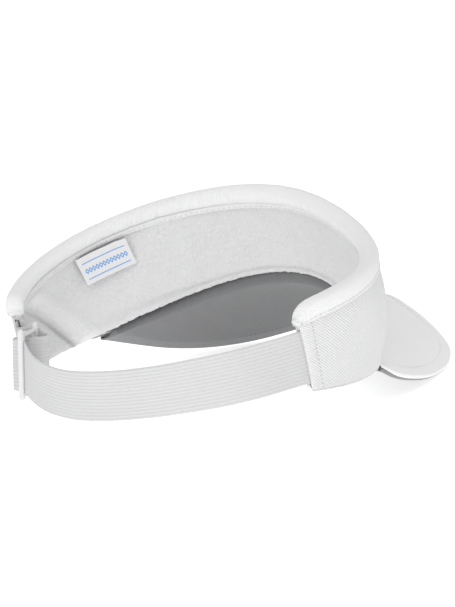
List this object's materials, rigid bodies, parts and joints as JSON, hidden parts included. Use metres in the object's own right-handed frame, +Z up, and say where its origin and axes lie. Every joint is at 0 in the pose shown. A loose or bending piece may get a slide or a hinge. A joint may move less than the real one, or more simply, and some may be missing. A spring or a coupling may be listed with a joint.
{
  "type": "sun visor",
  "caption": "Open-crown sun visor: white twill band with towelling sweatband, tape-bound top edge, curved brim with a grey underside, and an elastic back strap through a three-bar slider.",
  "frame": {"origin": "on the surface the visor stands on, under the middle of its bounding box", "axes": "+X to the wearer's right, +Y forward towards the brim, +Z up"},
  "size_m": [0.1858, 0.2503, 0.097],
  "materials": {
    "twill": "white cotton twill, fine diagonal weave",
    "interlining": "stiff non-woven interlining",
    "foam": "thin foam padding",
    "towelling": "brushed towelling",
    "binding_tape": "ribbed folded tape",
    "thread": "white polyester sewing thread",
    "label": "woven tape with a plain blue figure, no lettering",
    "brim_board": "moulded polyethylene brim board",
    "underbrim": "grey glare-cutting twill",
    "elastic": "ribbed woven elastic, 25 mm",
    "white_plastic": "moulded acetal, satin"
  },
  "bodies": {
    "visor": {"crown_shell": "twill", "crown_interlining": "interlining", "sweatband_padding": "foam", "sweatband_lining": "towelling", "top_binding": "binding_tape", "binding_thread_outer": "thread", "binding_thread_inner": "thread", "right_end_thread": "thread", "left_end_thread": "thread", "woven_label": "label", "brim_board": "brim_board", "brim_top_cover": "twill", "brim_under_cover": "underbrim", "brim_edge_thread": "thread", "elastic_strap": "elastic"},
    "slider": {"strap_slider": "white_plastic"}
  },
  "joints": [
    {"name": "slider_travel", "type": "slide", "parent": "visor", "child": "slider", "axis": [0.976, -0.218, 0], "range_m": [0, 0.035], "deforming": ["elastic_strap"]}
  ]
}
